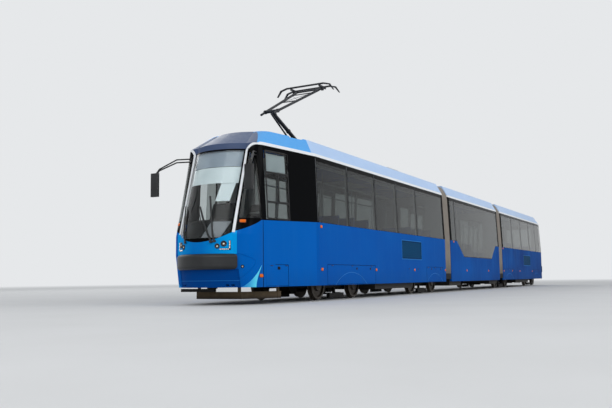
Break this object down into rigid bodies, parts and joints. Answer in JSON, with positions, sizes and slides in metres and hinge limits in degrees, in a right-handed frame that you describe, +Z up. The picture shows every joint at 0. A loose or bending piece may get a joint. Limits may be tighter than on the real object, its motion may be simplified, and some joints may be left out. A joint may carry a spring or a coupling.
{
  "type": "articulated city tram",
  "caption": "Single-ended articulated city tram in blue with a black-glazed upper body, bellows joints, rail bogies and a raised single-arm pantograph.",
  "frame": {"origin": "midway along the tram on its centreline, at the level of the wheel flanges' lowest point", "axes": "+X to the cab end, +Y to the side without doors, +Z up"},
  "size_m": [28.3999, 2.43, 5.28],
  "materials": {
    "body_paint": "gloss enamel on steel sheet and moulded panels",
    "fairing_paint": "metallic pale blue paint on the roof fairings",
    "window_glass": "tinted bonded safety glass",
    "lamp_glass": "clear lamp lenses over bright reflectors",
    "black_plastic": "moulded black plastic",
    "door_paint": "gloss enamel on door frames",
    "floor_sheet": "ribbed floor covering over a steel underframe",
    "seat_plastic": "moulded seat shells",
    "inner_panel": "pale moulded partition",
    "roof_unit_paint": "grey painted equipment covers",
    "guard_board": "dusty guard boards",
    "under_steel": "black chassis paint with road dust",
    "wheel_steel": "forged steel, bright on the treads",
    "bellows_fabric": "coated folding fabric",
    "pantograph_paint": "dark paint on steel tubes"
  },
  "bodies": {
    "front_car": {"cab_nose": "body_paint", "front_body": "body_paint", "windscreen": "window_glass", "quarter_panes": "window_glass", "headlamps": "lamp_glass", "apron": "body_paint", "bumper": "black_plastic", "front_doors": "door_paint", "front_glass": "window_glass", "front_fairing": "fairing_paint", "front_floor": "floor_sheet", "front_seats": "seat_plastic", "cab_desk": "black_plastic", "driver_seat": "seat_plastic", "cab_wall": "inner_panel", "front_roof_units": "roof_unit_paint", "mirrors": "black_plastic", "wipers": "black_plastic", "guard_boards": "guard_board", "coupler": "under_steel", "pantograph_base": "pantograph_paint", "bellows_1": "bellows_fabric"},
    "middle_car": {"middle_body": "body_paint", "middle_fairing": "fairing_paint", "middle_glass": "window_glass", "middle_doors": "door_paint", "middle_floor": "floor_sheet", "middle_seats": "seat_plastic", "middle_roof_units": "roof_unit_paint", "bellows_2": "bellows_fabric"},
    "rear_car": {"rear_body": "body_paint", "rear_bumper": "black_plastic", "rear_fairing": "fairing_paint", "rear_glass": "window_glass", "rear_doors": "door_paint", "tail_lamps": "lamp_glass", "rear_floor": "floor_sheet", "rear_seats": "seat_plastic", "rear_roof_units": "roof_unit_paint"},
    "bogie_1": {"bogie_1": "under_steel"},
    "axle_1_front": {"axle_1_front": "wheel_steel"},
    "axle_1_rear": {"axle_1_rear": "wheel_steel"},
    "bogie_2": {"bogie_2": "under_steel"},
    "axle_2_front": {"axle_2_front": "wheel_steel"},
    "axle_2_rear": {"axle_2_rear": "wheel_steel"},
    "bogie_3": {"bogie_3": "under_steel"},
    "axle_3_front": {"axle_3_front": "wheel_steel"},
    "axle_3_rear": {"axle_3_rear": "wheel_steel"},
    "bogie_4": {"bogie_4": "under_steel"},
    "axle_4_front": {"axle_4_front": "wheel_steel"},
    "axle_4_rear": {"axle_4_rear": "wheel_steel"},
    "lid_cab": {"lid_cab": "body_paint"},
    "lid_bogie_1": {"lid_bogie_1": "body_paint"},
    "lid_bogie_2": {"lid_bogie_2": "body_paint"},
    "lid_bogie_3": {"lid_bogie_3": "body_paint"},
    "lid_bogie_4": {"lid_bogie_4": "body_paint"},
    "lower_arm": {"lower_arm": "pantograph_paint"},
    "thrust_rod": {"thrust_rod": "pantograph_paint"},
    "upper_arm": {"upper_arm": "pantograph_paint"},
    "collector_head": {"collector_head": "pantograph_paint"}
  },
  "joints": [
    {"name": "articulation_1", "type": "hinge", "parent": "front_car", "child": "middle_car", "pos_m": [2.3, 0, 0.94], "axis": [0, 0, 1], "range_deg": [-25, 25], "deforming": ["bellows_1"]},
    {"name": "articulation_2", "type": "hinge", "parent": "middle_car", "child": "rear_car", "pos_m": [-4.9, 0, 0.94], "axis": [0, 0, 1], "range_deg": [-25, 25], "deforming": ["bellows_2"]},
    {"name": "bogie_1_yaw", "type": "hinge", "parent": "front_car", "child": "bogie_1", "pos_m": [9.78, 0, 0.86], "axis": [0, 0, 1], "range_deg": [-10, 10]},
    {"name": "axle_1_front_turn", "type": "hinge", "parent": "bogie_1", "child": "axle_1_front", "pos_m": [10.73, 0, 0.352], "axis": [0, 1, 0], "continuous": true},
    {"name": "axle_1_rear_turn", "type": "hinge", "parent": "bogie_1", "child": "axle_1_rear", "pos_m": [8.83, 0, 0.352], "axis": [0, 1, 0], "continuous": true},
    {"name": "bogie_2_yaw", "type": "hinge", "parent": "front_car", "child": "bogie_2", "pos_m": [3.78, 0, 0.86], "axis": [0, 0, 1], "range_deg": [-10, 10]},
    {"name": "axle_2_front_turn", "type": "hinge", "parent": "bogie_2", "child": "axle_2_front", "pos_m": [4.73, 0, 0.352], "axis": [0, 1, 0], "continuous": true},
    {"name": "axle_2_rear_turn", "type": "hinge", "parent": "bogie_2", "child": "axle_2_rear", "pos_m": [2.83, 0, 0.352], "axis": [0, 1, 0], "continuous": true},
    {"name": "bogie_3_yaw", "type": "hinge", "parent": "rear_car", "child": "bogie_3", "pos_m": [-6.34, 0, 0.86], "axis": [0, 0, 1], "range_deg": [-10, 10]},
    {"name": "axle_3_front_turn", "type": "hinge", "parent": "bogie_3", "child": "axle_3_front", "pos_m": [-5.39, 0, 0.352], "axis": [0, 1, 0], "continuous": true},
    {"name": "axle_3_rear_turn", "type": "hinge", "parent": "bogie_3", "child": "axle_3_rear", "pos_m": [-7.29, 0, 0.352], "axis": [0, 1, 0], "continuous": true},
    {"name": "bogie_4_yaw", "type": "hinge", "parent": "rear_car", "child": "bogie_4", "pos_m": [-12.34, 0, 0.86], "axis": [0, 0, 1], "range_deg": [-10, 10]},
    {"name": "axle_4_front_turn", "type": "hinge", "parent": "bogie_4", "child": "axle_4_front", "pos_m": [-11.39, 0, 0.352], "axis": [0, 1, 0], "continuous": true},
    {"name": "axle_4_rear_turn", "type": "hinge", "parent": "bogie_4", "child": "axle_4_rear", "pos_m": [-13.29, 0, 0.352], "axis": [0, 1, 0], "continuous": true},
    {"name": "lid_cab_lift", "type": "hinge", "parent": "front_car", "child": "lid_cab", "pos_m": [12.86, 1.00851, 0.77], "axis": [0.9913, -0.1318, 0], "range_deg": [0, 90]},
    {"name": "lid_bogie_1_lift", "type": "hinge", "parent": "front_car", "child": "lid_bogie_1", "pos_m": [9.705, 1.2, 0.79], "axis": [1, 0, 0], "range_deg": [0, 90]},
    {"name": "lid_bogie_2_lift", "type": "hinge", "parent": "front_car", "child": "lid_bogie_2", "pos_m": [3.675, 1.2, 0.79], "axis": [1, 0, 0], "range_deg": [0, 90]},
    {"name": "lid_bogie_3_lift", "type": "hinge", "parent": "rear_car", "child": "lid_bogie_3", "pos_m": [-6.36, 1.2, 0.79], "axis": [1, 0, 0], "range_deg": [0, 90]},
    {"name": "lid_bogie_4_lift", "type": "hinge", "parent": "rear_car", "child": "lid_bogie_4", "pos_m": [-12.34, 1.2, 0.79], "axis": [1, 0, 0], "range_deg": [0, 90]},
    {"name": "pantograph_raise", "type": "hinge", "parent": "front_car", "child": "lower_arm", "pos_m": [9.86, 0, 3.64], "axis": [0, -1, 0], "range_deg": [-20, 18]},
    {"name": "upper_arm_fold", "type": "hinge", "parent": "lower_arm", "child": "upper_arm", "pos_m": [11.38, 0, 4.29], "axis": [0, -1, 0], "range_deg": [-38.29, 42.54]},
    {"name": "head_level", "type": "hinge", "parent": "upper_arm", "child": "collector_head", "pos_m": [9.6, 0, 5.17], "axis": [0, -1, 0], "range_deg": [-22.54, 20.29]},
    {"name": "thrust_rod_swing", "type": "hinge", "parent": "front_car", "child": "thrust_rod", "pos_m": [10.465, 0, 3.57], "axis": [0, -1, 0], "range_deg": [-24.2, 21.78]}
  ],
  "couplings": [
    {"joint": "upper_arm_fold", "follows": "pantograph_raise", "ratio": -2.127},
    {"joint": "head_level", "follows": "pantograph_raise", "ratio": 1.127},
    {"joint": "thrust_rod_swing", "follows": "pantograph_raise", "ratio": 1.21}
  ]
}
